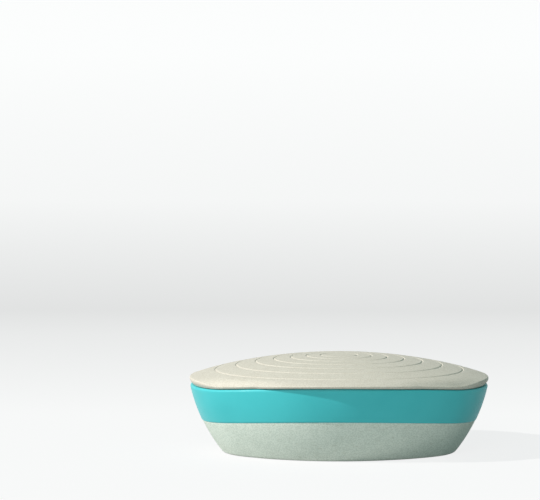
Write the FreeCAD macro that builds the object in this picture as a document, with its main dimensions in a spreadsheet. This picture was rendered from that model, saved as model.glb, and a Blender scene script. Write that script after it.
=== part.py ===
"""Travel soap box: an oval base tray, a soft seal band, a drain rack and a crowned lid.

Every wall is a flared cone on one oval of four arcs. Two bowed cuts split the box into base,
band and lid, and every seat is the same oval drawn in by the walls around it.
X runs along the length, Y across, Z up, with the foot on zero.
"""

import FreeCAD
import Part
import Sketcher
import math
import os

# Driving dimensions, one sheet row each: millimetres, and degrees for the flares.
SIZES = {
    # Oval of base and band, at the height of the crown, and where its walls meet.
    "hull_length": 116.6,
    "hull_width": 80.9,
    "hull_end_radius": 31.5,
    "waist_height": 13.5,
    "waist_inset": 5.7,
    # Bowed cuts: height over the middle, radius of the bow, the band between them.
    "parting_height": 29.3,
    "parting_radius": 385.0,
    "band_height": 13.4,
    # Base tray.
    "base_flare": 24.7,
    "cavity_flare": 21.5,
    "wall_thickness": 3.3,
    "floor_thickness": 2.0,
    "foot_recess": 0.8,
    "foot_ring": 6.0,
    "foot_bevel": 2.8,
    # Seal band.
    "band_flare": 19.0,
    "band_proud": 0.42,
    "band_thickness": 1.5,
    "band_lip": 1.2,
    "band_fit": 0.05,
    # Lid: oval at its brim, crown as part of an ellipsoid with these half axes.
    "lid_length": 115.0,
    "lid_width": 82.0,
    "lid_end_radius": 31.5,
    "lid_flare": 6.0,
    "brim_drop": 1.0,
    "crown_rise": 8.2,
    "crown_long": 150.0,
    "crown_cross": 118.0,
    "crown_deep": 110.8,
    "ceiling_length": 108.0,
    "ceiling_width": 85.0,
    "ceiling_end_radius": 33.0,
    "ceiling_slope_run": 27.0,
    "ceiling_slope_drop": 5.6,
    "crown_thickness": 3.7,
    "seal_gap": 0.3,
    "skirt_depth": 7.8,
    "skirt_thickness": 1.5,
    "skirt_gap": 0.3,
    # Drain rack.
    "rack_gap": 0.5,
    "rack_stand": 4.7,
    "rack_thickness": 1.8,
    "rack_frame": 4.0,
    "slot_width": 4.0,
    "slot_pitch": 10.5,
    "rib_width": 2.4,
    "rib_height": 1.6,
    "rail_width": 3.0,
    "rail_length": 34.0,
    "notch_radius": 8.0,
    # How far a cutting tool runs past what it cuts, and how close counts as touching.
    "overrun": 2.0,
    "nearness": 0.002,
}

# The outermost slot keeps to this share of the way from the middle to the rack's frame.
SLOT_REACH_SHARE = 0.8

# Insets at the waist from the outside of the base, as sums of what lies outside each surface.
BAND_SKIN = "-Sizes.band_proud"
BAND_BACK = "Sizes.band_thickness - Sizes.band_proud"
RIM_SKIN = BAND_BACK + " + Sizes.band_fit"
CAVITY = "Sizes.wall_thickness"
SKIRT_SKIN = CAVITY + " + Sizes.skirt_gap"
SKIRT_BACK = SKIRT_SKIN + " + Sizes.skirt_thickness"
RACK_EDGE = CAVITY + " + Sizes.rack_gap"

CROWN = "(Sizes.parting_height + Sizes.crown_rise)"
BRIM = "(Sizes.parting_height - Sizes.brim_drop)"
CEILING = f"({CROWN} - Sizes.crown_thickness)"
CEILING_EDGE = f"({CEILING} - Sizes.ceiling_slope_drop)"

SKIRT_END = "Sizes.parting_height - Sizes.skirt_depth"

FLOOR_TOP = "Sizes.foot_recess + Sizes.floor_thickness"
RACK_UNDER = FLOOR_TOP + " + Sizes.rack_stand"
RACK_TOP = RACK_UNDER + " + Sizes.rack_thickness"

UP = FreeCAD.Vector(0, 0, 1)

doc = FreeCAD.newDocument("travel_soap_box")
sheet = doc.addObject("Spreadsheet::Sheet", "Sizes")


def fill_sheet():
    """Write every driving dimension into the sheet under its own alias."""
    for row, (alias, value) in enumerate(SIZES.items(), start=1):
        sheet.set(f"A{row}", alias)
        sheet.set(f"B{row}", str(value))
        sheet.setAlias(f"B{row}", alias)
    doc.recompute()


def number(expression):
    """Return the present value of a sheet expression."""
    return float(sheet.evalExpression(expression))


def add(kind, name, links):
    """Add a document object whose properties follow the sheet."""
    item = doc.addObject(kind, name)
    for path, expression in links.items():
        item.setExpression(path, expression)
    return item


def combine(kind, name, base, tool):
    """Join two objects with a boolean: Cut, Common or Fuse."""
    item = doc.addObject("Part::" + kind, name)
    item.Base = base
    item.Tool = tool
    return item


def constrain(sketch, expression, *terms):
    """Add a dimension to a sketch and bind it to the sheet."""
    index = sketch.addConstraint(Sketcher.Constraint(*terms, number(expression)))
    sketch.setExpression(f"Constraints[{index}]", expression)


def oval(name, outline, inset, height):
    """Add a level sketch of four tangent arcs, an outline of the sheet drawn in by an inset."""
    length, width, end = (f"Sizes.{outline}_{size}" for size in ("length", "width", "end_radius"))
    reach = f"({length} / 2 - {end})"
    side = f"(({reach} ^ 2 + {width} ^ 2 / 4 - {end} ^ 2) / ({width} - 2 * {end}))"
    drop = number(f"{side} - {width} / 2")
    turn = math.atan2(number(reach), drop)
    quarter = math.pi / 2

    sketch = doc.addObject("Sketcher::SketchObject", name)
    sketch.setExpression("Placement.Base.z", height)
    right, back, left, front = range(4)
    tips = number(f"{end} - ({inset})")
    flanks = number(f"{side} - ({inset})")
    arcs = (
        (number(reach), 0, tips, turn - quarter, quarter - turn),
        (0, -drop, flanks, quarter - turn, quarter + turn),
        (-number(reach), 0, tips, quarter + turn, 3 * quarter - turn),
        (0, drop, flanks, 3 * quarter - turn, 3 * quarter + turn),
    )
    for along, across, radius, start, stop in arcs:
        circle = Part.Circle(FreeCAD.Vector(along, across, 0), UP, radius)
        sketch.addGeometry(Part.ArcOfCircle(circle, start, stop))
    sketch.addConstraint(Sketcher.Constraint("Tangent", right, 2, back, 1))
    for arc, following in ((back, left), (left, front), (front, right)):
        sketch.addConstraint(Sketcher.Constraint("Coincident", arc, 2, following, 1))
    sketch.addConstraint(Sketcher.Constraint("Symmetric", right, 2, left, 1, -2))
    sketch.addConstraint(Sketcher.Constraint("Symmetric", left, 1, left, 2, -1))
    sketch.addConstraint(Sketcher.Constraint("Symmetric", right, 2, right, 1, -1))
    sketch.addConstraint(Sketcher.Constraint("Equal", right, left))
    sketch.addConstraint(Sketcher.Constraint("Equal", back, front))
    constrain(sketch, reach, "DistanceX", -1, 1, right, 3)
    constrain(sketch, f"{end} - ({inset})", "Radius", right)
    constrain(sketch, f"{side} - ({inset})", "Radius", back)
    return sketch


def coned(name, outline, low, high):
    """Loft a solid of straight walls between two insets of an outline, each with its height."""
    loft = doc.addObject("Part::Loft", name)
    loft.Sections = [oval(f"{name}_low", outline, *low), oval(f"{name}_high", outline, *high)]
    loft.Solid = True
    loft.Ruled = True
    return loft


def flared(name, outline, inset, level, flare):
    """Loft a flared solid from the foot to the crown, with an inset given at one level."""
    ends = [
        (f"{inset} - ({height} - {level}) * tan({flare} * 1 deg)", height)
        for height in ("0", CROWN)
    ]
    return coned(name, outline, *ends)


def wall(name, inset, flare):
    """Loft one of the walls that meet at the waist."""
    return flared(name, "hull", f"Sizes.waist_inset + ({inset})", "Sizes.waist_height", flare)


def under_bow(name, rise):
    """Add the space under the bowed parting surface, moved out from it by a rise."""
    reach = "(Sizes.hull_width / 2 + Sizes.lid_width / 2)"
    roller = add("Part::Cylinder", name, {
        "Radius": f"Sizes.parting_radius + ({rise})",
        "Height": f"2 * {reach}",
        "Placement.Base.y": f"-{reach}",
        "Placement.Base.z": "Sizes.parting_height - Sizes.parting_radius",
    })
    roller.Placement.Rotation = FreeCAD.Rotation(FreeCAD.Vector(1, 0, 0), -90)
    return roller


def under_crown(name):
    """Add the ellipsoid of the crown, with its poles across the box."""
    dome = add("Part::Ellipsoid", name, {
        "Radius1": "Sizes.crown_cross",
        "Radius2": "Sizes.crown_long",
        "Radius3": "Sizes.crown_deep",
        "Placement.Base.z": f"{CROWN} - Sizes.crown_deep",
    })
    dome.Angle1 = -90
    dome.Placement.Rotation = FreeCAD.Rotation(FreeCAD.Vector(1, 0, 0), 90)
    return dome


def under_level(name, height):
    """Add a block that fills the hull's box from below the foot up to a height."""
    return add("Part::Box", name, {
        "Length": "Sizes.hull_length + 2 * Sizes.overrun",
        "Width": "Sizes.hull_width + 2 * Sizes.overrun",
        "Height": f"{height} + Sizes.overrun",
        "Placement.Base.x": "-(Sizes.hull_length / 2 + Sizes.overrun)",
        "Placement.Base.y": "-(Sizes.hull_width / 2 + Sizes.overrun)",
        "Placement.Base.z": "-Sizes.overrun",
    })


def bevelled(name, base, bevel, height):
    """Bevel the edges of an object that lie at one height."""
    doc.recompute()
    level, size, near = number(height), number(bevel), number("Sizes.nearness")
    edges = [
        (index, size, size)
        for index, edge in enumerate(base.Shape.Edges, start=1)
        if all(abs(point.z - level) < near for point in edge.discretize(Number=5))
    ]
    if not edges:
        raise RuntimeError(f"{name}: no edge to bevel")
    item = doc.addObject("Part::Chamfer", name)
    item.Base = base
    item.Edges = edges
    return item


def base_tray():
    """Build the base: bevelled foot, shoulder under the band, rim inside it, cavity."""
    shoulder = under_bow("base_shoulder", "-Sizes.band_height")
    outer = combine("Common", "base_outer", wall("base_wall", "0", "Sizes.base_flare"), shoulder)
    footed = bevelled("base_footed", outer, "Sizes.foot_bevel", "0")

    floor = under_level("floor_block", FLOOR_TOP)
    rim_top = under_bow("rim_top", "-Sizes.band_lip - Sizes.band_fit")
    rim_full = combine("Common", "rim_full", wall("rim_wall", RIM_SKIN, "Sizes.band_flare"), rim_top)
    rim = combine("Cut", "rim", rim_full, under_bow("rim_root", "-Sizes.band_height - Sizes.overrun"))
    solid = combine("Fuse", "base_solid", footed, rim)

    cavity = combine("Cut", "cavity", wall("cavity_wall", CAVITY, "Sizes.cavity_flare"), floor)
    shell = combine("Cut", "base_shell", solid, cavity)

    foot_inset = "Sizes.waist_inset + Sizes.waist_height * tan(Sizes.base_flare * 1 deg)"
    outline = oval("recess_outline", "hull", f"{foot_inset} + Sizes.foot_ring", "-Sizes.overrun")
    recess = add("Part::Extrusion", "recess", {"LengthFwd": "Sizes.foot_recess + Sizes.overrun"})
    recess.Base = outline
    recess.Dir = UP
    recess.Solid = True
    tray = combine("Cut", "BaseTray", shell, recess)
    tray.Label = "base_tray"
    return tray


def seal_band():
    """Build the soft band: wall around the rim and a lip folded over its top."""
    top = under_bow("band_top", "0")
    blank = combine("Common", "band_blank", wall("band_wall", BAND_SKIN, "Sizes.band_flare"), top)

    sleeve = combine("Cut", "band_sleeve", blank, wall("band_back", BAND_BACK, "Sizes.band_flare"))
    skirt = combine("Cut", "band_skirt", sleeve, under_bow("band_foot", "-Sizes.band_height"))

    fold = combine("Cut", "band_fold", blank, wall("lip_back", CAVITY, "Sizes.cavity_flare"))
    lip = combine("Cut", "band_lip", fold, under_bow("lip_under", "-Sizes.band_lip"))

    band = combine("Fuse", "SealBand", skirt, lip)
    band.Label = "seal_band"
    return band


def lid():
    """Build the lid: crowned plate over the band, skirt inside the cavity, hollow."""
    outside = flared("lid_side", "lid", "0", BRIM, "Sizes.lid_flare")
    plate = combine("Cut", "lid_plate", outside, under_bow("lid_seat", "Sizes.seal_gap"))
    plug_wall = wall("skirt_wall", SKIRT_SKIN, "Sizes.cavity_flare")
    plug = combine("Cut", "lid_plug", plug_wall, under_level("skirt_end", SKIRT_END))
    blank = combine("Fuse", "lid_blank", plate, plug)
    solid = combine("Common", "lid_solid", blank, under_crown("crown"))

    ceiling = coned("ceiling", "ceiling", ("0", CEILING_EDGE), ("Sizes.ceiling_slope_run", CEILING))
    room = combine("Fuse", "lid_room", under_level("room_block", CEILING_EDGE), ceiling)
    hollow = combine("Common", "lid_hollow", wall("skirt_back", SKIRT_BACK, "Sizes.cavity_flare"), room)
    cover = combine("Cut", "Lid", solid, hollow)
    cover.Label = "lid"
    return cover


def plane_of(body, role):
    """Return one of a body's own origin planes."""
    return next(feature for feature in body.Origin.OriginFeatures if feature.Role == role)


def sketch_at(body, name, height):
    """Add a level sketch to a body at a height."""
    sketch = body.newObject("Sketcher::SketchObject", name)
    sketch.AttachmentSupport = (plane_of(body, "XY_Plane"), [""])
    sketch.MapMode = "FlatFace"
    sketch.setExpression("AttachmentOffset.Base.z", height)
    return sketch


def draw_round(sketch, centre, radius):
    """Draw a circle on the box's long axis, at a distance along X."""
    item = sketch.GeometryCount
    sketch.addGeometry(Part.Circle(FreeCAD.Vector(number(centre), 0, 0), UP, number(radius)))
    constrain(sketch, radius, "Radius", item)
    constrain(sketch, centre, "DistanceX", -1, 1, item, 3)
    sketch.addConstraint(Sketcher.Constraint("PointOnObject", item, 3, -1))


def draw_bar(sketch, centre, half_length, width):
    """Draw a rectangle across the box, at a distance along X."""
    middle = number(centre)
    side = number(f"{width} / 2")
    end = number(half_length)
    first = sketch.GeometryCount
    loop = range(first, first + 4)
    front, right = loop[:2]
    signs = ((-1, -1), (1, -1), (1, 1), (-1, 1))
    corners = [FreeCAD.Vector(middle + along * side, across * end, 0) for along, across in signs]
    for place in range(4):
        sketch.addGeometry(Part.LineSegment(corners[place], corners[(place + 1) % 4]))
    for place, item in enumerate(loop):
        sketch.addConstraint(Sketcher.Constraint("Coincident", item, 2, loop[(place + 1) % 4], 1))
        sketch.addConstraint(Sketcher.Constraint("Vertical" if place % 2 else "Horizontal", item))
    constrain(sketch, width, "DistanceX", front, 1, front, 2)
    constrain(sketch, f"2 * {half_length}", "DistanceY", right, 1, right, 2)
    constrain(sketch, f"{centre} + {width} / 2", "DistanceX", -1, 1, right, 2)
    constrain(sketch, half_length, "DistanceY", -1, 1, right, 2)


def feature(body, kind, name, sketch, length, backward=False):
    """Add a pad or pocket of a sketch with a length from the sheet."""
    item = body.newObject("PartDesign::" + kind, name)
    item.Profile = sketch
    item.Reversed = backward
    item.setExpression("Length", length)
    doc.recompute()
    return item


def drain_rack():
    """Build the rack: oval plate with drain slots, ribs, finger notches and two foot rails."""
    flare = f"({RACK_TOP} - Sizes.waist_height) * tan(Sizes.cavity_flare * 1 deg)"
    edge = f"(Sizes.waist_inset + {RACK_EDGE} - {flare})"
    frame_long = f"(Sizes.hull_length / 2 - {edge} - Sizes.rack_frame)"
    frame_cross = f"(Sizes.hull_width / 2 - {edge} - Sizes.rack_frame)"
    rows = math.floor(SLOT_REACH_SHARE * number(frame_long) / number("Sizes.slot_pitch"))

    def span(place):
        """Return the half length of a row at a place along X, inside the oval frame."""
        return f"({frame_cross} * sqrt(1 - ({place} / {frame_long}) ^ 2))"

    body = doc.addObject("PartDesign::Body", "RackBody")
    outline = sketch_at(body, "rack_outline", RACK_UNDER)
    draw_bar(outline, "0", "(Sizes.hull_width / 2)", "Sizes.hull_length")
    feature(body, "Pad", "rack_plate", outline, "Sizes.rack_thickness")

    through = "Sizes.rack_thickness + Sizes.overrun"
    middle = sketch_at(body, "middle_slot_outline", RACK_TOP)
    draw_bar(middle, "0", span("0"), "Sizes.slot_width")
    feature(body, "Pocket", "middle_slot", middle, through)

    side = sketch_at(body, "side_slot_outlines", RACK_TOP)
    for row in range(1, rows + 1):
        place = f"({row} * Sizes.slot_pitch)"
        draw_bar(side, place, span(place), "Sizes.slot_width")
    slots = feature(body, "Pocket", "side_slots", side, through)

    notch = sketch_at(body, "notch_outline", RACK_TOP)
    draw_round(notch, f"{frame_long} + Sizes.rack_frame", "Sizes.notch_radius")
    notches = feature(body, "Pocket", "finger_notch", notch, through)

    ridge = sketch_at(body, "rib_outlines", RACK_TOP)
    for row in range(rows):
        place = f"(({row} + 0.5) * Sizes.slot_pitch)"
        draw_bar(ridge, place, span(place), "Sizes.rib_width")
    ribs = feature(body, "Pad", "ribs", ridge, "Sizes.rib_height")

    stand = sketch_at(body, "rail_outline", RACK_UNDER)
    last_rib = f"(({rows} - 0.5) * Sizes.slot_pitch)"
    draw_bar(stand, last_rib, "(Sizes.rail_length / 2)", "Sizes.rail_width")
    rails = feature(body, "Pad", "foot_rail", stand, "Sizes.rack_stand", backward=True)

    both = body.newObject("PartDesign::Mirrored", "other_end")
    both.Originals = [slots, notches, ribs, rails]
    both.MirrorPlane = (plane_of(body, "YZ_Plane"), [""])
    body.Tip = both
    doc.recompute()

    trim = wall("rack_trim", RACK_EDGE, "Sizes.cavity_flare")
    rack = combine("Common", "DrainRack", body, trim)
    rack.Label = "drain_rack"
    return rack


def export(nodes):
    """Check every object of the document and write each node's solid."""
    doc.recompute()
    for item in doc.Objects:
        if "Invalid" in item.State or "Error" in item.State:
            raise RuntimeError(f"{item.Name}: {item.State}")
    os.makedirs("parts", exist_ok=True)
    for node in nodes:
        shape = node.Shape
        if shape.isNull() or not shape.isValid() or len(shape.Solids) != 1:
            raise RuntimeError(f"{node.Label}: {len(shape.Solids)} solids, valid {shape.isValid()}")
        shape.exportStep(f"parts/{node.Label}.step")


fill_sheet()
export([base_tray(), seal_band(), drain_rack(), lid()])
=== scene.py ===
"""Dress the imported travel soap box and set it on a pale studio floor.

Lengths of the pieces are millimetres and those of the studio metres, unless a name says otherwise.
Meshes are in metres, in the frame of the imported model.
"""

from __future__ import annotations

import logging
import math
from dataclasses import dataclass
from enum import Enum

import bpy
import numpy as np
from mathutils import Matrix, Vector

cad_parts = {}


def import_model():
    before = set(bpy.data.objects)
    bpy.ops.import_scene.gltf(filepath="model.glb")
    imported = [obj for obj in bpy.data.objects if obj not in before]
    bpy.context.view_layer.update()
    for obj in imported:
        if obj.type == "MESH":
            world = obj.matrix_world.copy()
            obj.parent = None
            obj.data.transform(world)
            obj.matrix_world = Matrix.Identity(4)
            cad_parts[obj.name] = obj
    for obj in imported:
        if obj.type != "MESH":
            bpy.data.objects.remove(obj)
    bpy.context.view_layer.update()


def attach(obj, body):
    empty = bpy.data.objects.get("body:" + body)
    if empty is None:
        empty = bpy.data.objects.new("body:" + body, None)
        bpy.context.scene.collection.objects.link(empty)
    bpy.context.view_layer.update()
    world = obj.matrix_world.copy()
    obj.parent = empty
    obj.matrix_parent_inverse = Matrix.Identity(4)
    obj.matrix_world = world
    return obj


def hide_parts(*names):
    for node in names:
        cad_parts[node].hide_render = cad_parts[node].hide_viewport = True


LOG = logging.getLogger("soap_box")
MM = 0.001
ROUND = 288
FITTING_PASSES = 4
FRAME_WIDTH_PX = 540
FRAME_HEIGHT_PX = 500

Ring = np.ndarray
Walk = tuple[np.ndarray, np.ndarray]
Steps = list[tuple[float, float]]
Colour = tuple[float, float, float]
Rgba = tuple[float, float, float, float]
Socket = bpy.types.NodeSocket


class Body(Enum):
    """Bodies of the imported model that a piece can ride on."""

    BASE = "base"
    RACK = "rack"
    LID = "lid"


class Node(Enum):
    """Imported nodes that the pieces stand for."""

    BASE_TRAY = "base_tray"
    SEAL_BAND = "seal_band"
    DRAIN_RACK = "drain_rack"
    LID = "lid"


class Slot(Enum):
    """Material slots of the record."""

    BASE = "base_composite"
    BAND = "band_silicone"
    RACK = "rack_composite"
    LID = "lid_composite"


def linear(colour: Colour) -> Rgba:
    """Turn a display colour of 0 to 255 into a linear one, by the usual sRGB curve.

    Args:
        colour: Red, green and blue as they look on a screen.

    Returns:
        Linear red, green, blue and an alpha of one.
    """
    shares = [value / 255 for value in colour]
    lit = [s / 12.92 if s <= 0.04045 else ((s + 0.055) / 1.055) ** 2.4 for s in shares]
    return (lit[0], lit[1], lit[2], 1.0)


def grey(level: float) -> Rgba:
    """Make a linear grey of one level."""
    return (level, level, level, 1.0)


def placed(name: str, data: object) -> bpy.types.Object:
    """Add an object to the scene.

    Args:
        name: Name of the object.
        data: Its mesh, lamp or camera.

    Returns:
        The object, at the origin.
    """
    item = bpy.data.objects.new(name, data)
    bpy.context.scene.collection.objects.link(item)
    return item


@dataclass(frozen=True)
class Oval:
    """Plan outline of four tangent arcs."""

    half_length: float
    half_width: float
    end_radius: float

    def around(self, inset: np.ndarray | float) -> Walk:
        """Walk round the outline, drawn in by an inset.

        Args:
            inset: One inset for all, or one for each step of the walk.

        Returns:
            Distances along and across the box for each step.
        """
        turn = np.linspace(0, 2 * math.pi, ROUND, endpoint=False)
        along, across = np.cos(turn), np.sin(turn)
        reach = self.half_length - self.end_radius
        square = reach**2 + self.half_width**2 - self.end_radius**2
        side_radius = square / (2 * (self.half_width - self.end_radius))
        drop = side_radius - self.half_width
        on_flank = np.abs(along) * drop < np.abs(across) * reach
        x = np.where(on_flank, along * side_radius, along * self.end_radius + np.sign(along) * reach)
        y = np.where(on_flank, across * side_radius - np.sign(across) * drop, across * self.end_radius)
        return x - along * inset, y - across * inset


@dataclass(frozen=True)
class LippedOval(Oval):
    """Oval that swells to a shallow finger lip at the middle of each long side."""

    lip: float = 2.4
    lip_reach: float = 30.5
    lip_power: float = 0.55

    def around(self, inset: np.ndarray | float) -> Walk:
        """Walk round the outline and its lips, drawn in by an inset.

        Args:
            inset: One inset for all, or one for each step of the walk.

        Returns:
            Distances along and across the box for each step.
        """
        x, y = super().around(inset)
        swell = self.lip * np.maximum(0.0, 1 - (x / self.lip_reach) ** 2) ** self.lip_power
        return x, y + np.sign(y) * swell


@dataclass(frozen=True)
class Ellipse:
    """Level line of the crown."""

    half_length: float
    half_width: float

    def around(self) -> Walk:
        """Walk round the ellipse by the direction that it faces.

        Returns:
            Distances along and across the box for each step.
        """
        turn = np.linspace(0, 2 * math.pi, ROUND, endpoint=False)
        along, across = np.cos(turn), np.sin(turn)
        scale = np.sqrt((self.half_length * along) ** 2 + (self.half_width * across) ** 2)
        return self.half_length**2 * along / scale, self.half_width**2 * across / scale


@dataclass(frozen=True)
class Bow:
    """Parting surface, arched along the box, with an arch that eases out towards its upper ends."""

    height: float = 29.7
    radius: float = 385.0
    ease_start: float = 44.0
    ease_run: float = 16.0
    ease_depth: float = 13.35

    def level(self, x: np.ndarray, rise: float) -> np.ndarray:
        """Height of the surface, moved out by a rise.

        Args:
            x: Distances along the box.
            rise: How far the surface is moved out from the parting.

        Returns:
            Heights over the foot.
        """
        past = np.maximum(np.abs(x) - self.ease_start, 0.0)
        share = np.clip(1 + rise / self.ease_depth, 0.0, 1.0)
        along = np.abs(x) - share * past**2 / (2 * self.ease_run)
        return self.height - self.radius + np.sqrt((self.radius + rise) ** 2 - along**2)


@dataclass(frozen=True)
class Flare:
    """Curve of the outside from foot to rim, as part of a circle."""

    radius: float = 62.0
    upright_height: float = 39.0

    def inset(self, z: np.ndarray | float) -> np.ndarray | float:
        """Inset of the outside from the widest outline, at a height over the foot."""
        return self.radius - np.sqrt(self.radius**2 - (self.upright_height - z) ** 2)


@dataclass(frozen=True)
class Cone:
    """Straight flared wall."""

    inset_at_level: float
    degrees: float = 21.5
    level: float = 13.5

    def inset(self, z: np.ndarray | float) -> np.ndarray | float:
        """Inset of the wall from the outline that carries it, at a height over the foot."""
        return self.inset_at_level - (z - self.level) * math.tan(math.radians(self.degrees))


Wall = Flare | Cone


def rounding(centre: float, radius: float, first: float, last: float, count: int = 4) -> Steps:
    """Walk over a rounded edge.

    Args:
        centre: Height of the rounding's centre.
        radius: Its radius.
        first: Turn in degrees where the walk starts, which is zero where the edge is widest.
        last: Turn in degrees where it ends.
        count: How many steps it has.

    Returns:
        A height and a draw-in from the widest place for each step.
    """
    turns = np.radians(np.linspace(first, last, count))
    return [(centre + radius * math.sin(turn), radius * (1 - math.cos(turn))) for turn in turns]


@dataclass(frozen=True)
class Hull:
    """Rules that the base, band, rack and lid share."""

    skin: Oval = Oval(58.55, 41.05, 32.25)
    seat: Oval = Oval(58.3, 40.45, 31.5)
    bow: Bow = Bow()
    flare: Flare = Flare()
    cavity: Cone = Cone(9.0)
    rim: Cone = Cone(6.83, degrees=19.0)
    band_back: Cone = Cone(6.78, degrees=19.0)
    skirt: Cone = Cone(9.3)
    skirt_back: Cone = Cone(10.8)
    rack: Cone = Cone(9.5)
    band_height: float = 13.35

    @staticmethod
    def ring(x: np.ndarray, y: np.ndarray, z: np.ndarray | float) -> Ring:
        """Stack coordinates to a ring of points."""
        return np.column_stack([x, y, np.broadcast_to(z, x.shape)])

    def level_ring(self, oval: Oval, inset: float, z: float) -> Ring:
        """Make a level ring along an outline, drawn in by an inset."""
        return self.ring(*oval.around(inset), z)

    def bowed_ring(self, oval: Oval, wall: Wall, rise: float, inset: float = 0.0) -> Ring:
        """Make a ring where a wall meets the bowed surface.

        Args:
            oval: Outline that the wall follows.
            wall: Rule of the wall's inset.
            rise: How far the surface is moved out from the parting.
            inset: Further inset from the wall.

        Returns:
            The ring's points.
        """
        x, y = oval.around(0.0)
        z = self.bow.level(x, rise)
        for _ in range(FITTING_PASSES):
            x, y = oval.around(wall.inset(z) + inset)
            z = self.bow.level(x, rise)
        return self.ring(x, y, z)

    def level_edge(self, oval: Oval, wall: Wall, steps: Steps, side: int = 1) -> list[Ring]:
        """Make the level rings of a wall's rounded edge.

        Args:
            oval: Outline that the wall follows.
            wall: Rule of the wall's inset.
            steps: Heights and draw-ins of the rounding.
            side: One for a wall that faces out, minus one for a wall that faces in.

        Returns:
            A ring for each step.
        """
        return [self.level_ring(oval, wall.inset(z) + side * draw, z) for z, draw in steps]

    def bowed_edge(
        self, oval: Oval, wall: Wall, steps: Steps, side: int = 1, inset: float = 0.0
    ) -> list[Ring]:
        """Make the bowed rings of a wall's rounded edge.

        Args:
            oval: Outline that the wall follows.
            wall: Rule of the wall's inset.
            steps: Rises and draw-ins of the rounding.
            side: One for a wall that faces out, minus one for a wall that faces in.
            inset: Further inset from the wall.

        Returns:
            A ring for each step.
        """
        return [self.bowed_ring(oval, wall, rise, inset + side * draw) for rise, draw in steps]

    def wall_rings(
        self, oval: Oval, wall: Wall, low: Ring, high: Ring, count: int, inset: float = 0.0
    ) -> list[Ring]:
        """Make the rings of a wall between two rings.

        Args:
            oval: Outline that the wall follows.
            wall: Rule of the wall's inset.
            low: Ring where the wall starts.
            high: Ring where it ends.
            count: How many rings lie between them.
            inset: Further inset from the wall.

        Returns:
            The rings between the two, from low to high.
        """
        rings = []
        for share in np.linspace(0, 1, count + 2)[1:-1]:
            z = low[:, 2] * (1 - share) + high[:, 2] * share
            rings.append(self.ring(*oval.around(wall.inset(z) + inset), z))
        return rings


@dataclass
class Shell:
    """Closed skin over rings of points in millimetres, in order over the skin."""

    name: str
    rings: list[Ring]

    def piece(self, capped: bool, sharp_degrees: float = 40.0) -> bpy.types.Object:
        """Build the mesh object of the skin.

        Args:
            capped: Close the first and last ring with a point each, or else join them.
            sharp_degrees: Edges that fold by more stay sharp.

        Returns:
            The object, at the origin.
        """
        count = len(self.rings)
        points = np.vstack(self.rings) * MM
        faces: list[tuple[int, ...]] = []
        last = count - 1 if capped else count
        for row in range(last):
            low, high = row * ROUND, ((row + 1) % count) * ROUND
            for step in range(ROUND):
                after = (step + 1) % ROUND
                faces.append((low + step, low + after, high + after, high + step))
        if capped:
            for row, flipped in ((0, True), (count - 1, False)):
                points = np.vstack([points, self.rings[row].mean(axis=0) * MM])
                tip = len(points) - 1
                for step in range(ROUND):
                    pair = (row * ROUND + step, row * ROUND + (step + 1) % ROUND)
                    faces.append((pair[1], pair[0], tip) if flipped else (pair[0], pair[1], tip))
        mesh = bpy.data.meshes.new(self.name)
        mesh.from_pydata(points.tolist(), [], faces)
        mesh.validate()
        mesh.shade_smooth()
        mesh.set_sharp_from_angle(angle=math.radians(sharp_degrees))
        return placed(self.name, mesh)


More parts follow.
